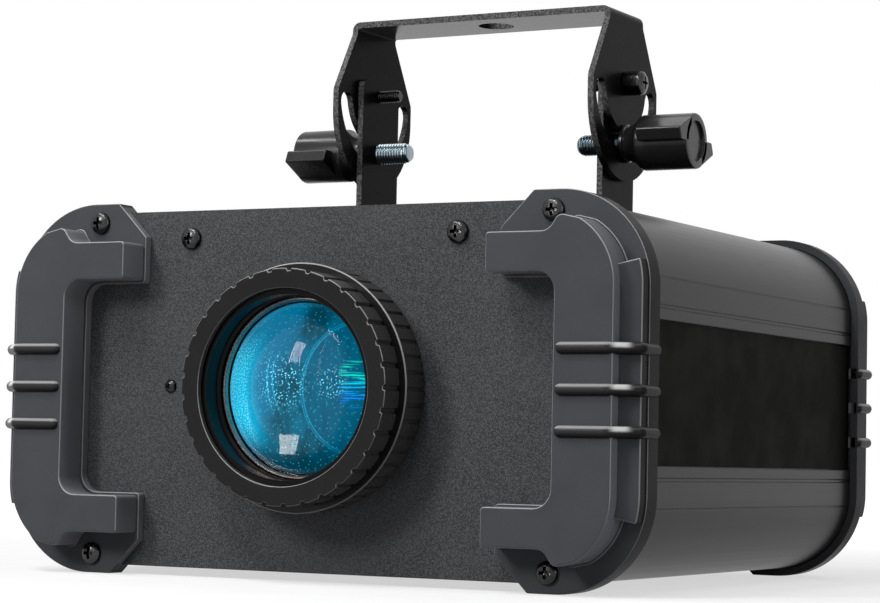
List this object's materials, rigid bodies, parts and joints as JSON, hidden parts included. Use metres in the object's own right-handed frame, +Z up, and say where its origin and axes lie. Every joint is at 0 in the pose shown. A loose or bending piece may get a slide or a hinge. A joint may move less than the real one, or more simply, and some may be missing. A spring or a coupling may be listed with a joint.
{
  "type": "water wave effect light",
  "caption": "Boxed stage light with a focusing front lens, moulded corner bumpers, ribbed side rails and a tilting yoke, which projects slowly rippling coloured water waves.",
  "frame": {"origin": "on the surface that the light stands on, under the middle of its bounding box", "axes": "+Z up, the lens looks along -Y, +X is on the right of someone who faces the lens"},
  "size_m": [0.3128, 0.3018, 0.2651],
  "materials": {
    "front_coat": "fine speckled charcoal powder coat",
    "case_coat": "satin black powder coat",
    "rail_aluminium": "satin dark grey anodised",
    "label_black": "bare matt black film",
    "bumper_plastic": "satin charcoal moulding",
    "yoke_coat": "black powder coat",
    "black_steel": "blackened steel",
    "zinc_steel": "zinc plated",
    "knob_plastic": "satin black",
    "ring_plastic": "gloss black",
    "matt_plastic": "matt black",
    "lens_glass": "polished, lit from behind in cyan",
    "bronze_rim": "bronze anodised",
    "inner_steel": "galvanised",
    "bare_aluminium": "mill finish",
    "clear_glass": "rippled clear glass",
    "red_glass": "dichroic",
    "yellow_glass": "dichroic",
    "green_glass": "dichroic",
    "cyan_glass": "dichroic",
    "magenta_glass": "dichroic",
    "board_green": "solder mask",
    "board_white": "white ceramic"
  },
  "bodies": {
    "housing": {"front_panel": "front_coat", "rear_panel": "front_coat", "top_cover": "case_coat", "bottom_cover": "case_coat", "side_rail_right": "rail_aluminium", "side_rail_left": "rail_aluminium", "label_panel_right": "label_black", "label_panel_left": "label_black", "bumper_front_right": "bumper_plastic", "bumper_front_left": "bumper_plastic", "bumper_rear_right": "bumper_plastic", "bumper_rear_left": "bumper_plastic", "bracket_strap_right": "yoke_coat", "bracket_strap_left": "yoke_coat", "pivot_screw_right": "black_steel", "pivot_screw_left": "black_steel", "lens_sleeve": "matt_plastic", "optics_tray": "inner_steel", "ripple_bracket": "inner_steel", "fixed_ripple_glass": "clear_glass", "effect_motor": "inner_steel", "lamp_bracket": "inner_steel", "colour_motor": "inner_steel", "condenser_holder": "matt_plastic", "condenser_lens": "clear_glass", "led_module": "board_white", "heat_sink": "bare_aluminium", "power_supply_board": "board_green", "control_board": "board_green", "mains_inlet": "matt_plastic", "mains_outlet": "matt_plastic", "remote_jack": "matt_plastic", "fan_frame": "matt_plastic", "fan_guard": "zinc_steel", "speed_pot": "inner_steel", "colour_pot": "inner_steel", "safety_eye": "zinc_steel"},
    "yoke": {"yoke": "yoke_coat"},
    "clamp_right": {"clamp_knob_right": "knob_plastic", "clamp_stud_right": "zinc_steel"},
    "clamp_left": {"clamp_knob_left": "knob_plastic", "clamp_stud_left": "zinc_steel"},
    "lock_ring": {"lock_ring": "ring_plastic"},
    "lens_carriage": {"lens_barrel": "matt_plastic", "objective_lens": "lens_glass", "lens_retainer": "bronze_rim"},
    "focus_ring": {"focus_ring": "ring_plastic"},
    "effect_wheel": {"effect_wheel": "clear_glass", "effect_wheel_hub": "inner_steel"},
    "colour_wheel": {"colour_wheel": "bare_aluminium", "colour_wheel_hub": "inner_steel", "filter_red": "red_glass", "filter_yellow": "yellow_glass", "filter_green": "green_glass", "filter_cyan": "cyan_glass", "filter_magenta": "magenta_glass"},
    "fan_rotor": {"fan_rotor": "matt_plastic"},
    "speed_knob": {"speed_knob": "knob_plastic"},
    "colour_knob": {"colour_knob": "knob_plastic"},
    "fuse_drawer": {"fuse_drawer": "ring_plastic"}
  },
  "joints": [
    {"name": "yoke_tilt", "type": "hinge", "parent": "housing", "child": "yoke", "pos_m": [0, 0.03755, 0.2306], "axis": [1, 0, 0], "range_deg": [-78, 78]},
    {"name": "clamp_right_turn", "type": "hinge", "parent": "housing", "child": "clamp_right", "pos_m": [0.09, 0.03755, 0.2022], "axis": [1, 0, 0], "range_deg": [0, 180]},
    {"name": "clamp_left_turn", "type": "hinge", "parent": "housing", "child": "clamp_left", "pos_m": [-0.09, 0.03755, 0.2022], "axis": [-1, 0, 0], "range_deg": [0, 180]},
    {"name": "lock_ring_turn", "type": "hinge", "parent": "housing", "child": "lock_ring", "pos_m": [0, -0.13, 0.0816], "axis": [0, -1, 0], "range_deg": [0, 90]},
    {"name": "lens_slide", "type": "slide", "parent": "housing", "child": "lens_carriage", "axis": [0, -1, 0], "range_m": [0, 0.006]},
    {"name": "focus_turn", "type": "hinge", "parent": "lens_carriage", "child": "focus_ring", "pos_m": [0, -0.145, 0.0816], "axis": [0, -1, 0], "range_deg": [0, 300]},
    {"name": "effect_wheel_spin", "type": "hinge", "parent": "housing", "child": "effect_wheel", "pos_m": [0.036, -0.05765, 0.0716], "axis": [0, 1, 0], "continuous": true},
    {"name": "colour_wheel_spin", "type": "hinge", "parent": "housing", "child": "colour_wheel", "pos_m": [-0.03, -0.0429, 0.0676], "axis": [0, 1, 0], "continuous": true},
    {"name": "fan_spin", "type": "hinge", "parent": "housing", "child": "fan_rotor", "pos_m": [0, 0.12, 0.0936], "axis": [0, 1, 0], "continuous": true},
    {"name": "speed_dial", "type": "hinge", "parent": "housing", "child": "speed_knob", "pos_m": [-0.06196, 0.135, 0.1096], "axis": [0, -1, 0], "range_deg": [0, 300]},
    {"name": "colour_dial", "type": "hinge", "parent": "housing", "child": "colour_knob", "pos_m": [-0.098, 0.135, 0.1096], "axis": [0, -1, 0], "range_deg": [0, 300]},
    {"name": "fuse_drawer_slide", "type": "slide", "parent": "housing", "child": "fuse_drawer", "axis": [0, 1, 0], "range_m": [0, 0.018]}
  ],
  "couplings": [
    {"joint": "lens_slide", "follows": "focus_turn", "m_per_rad": 0.0011459}
  ]
}
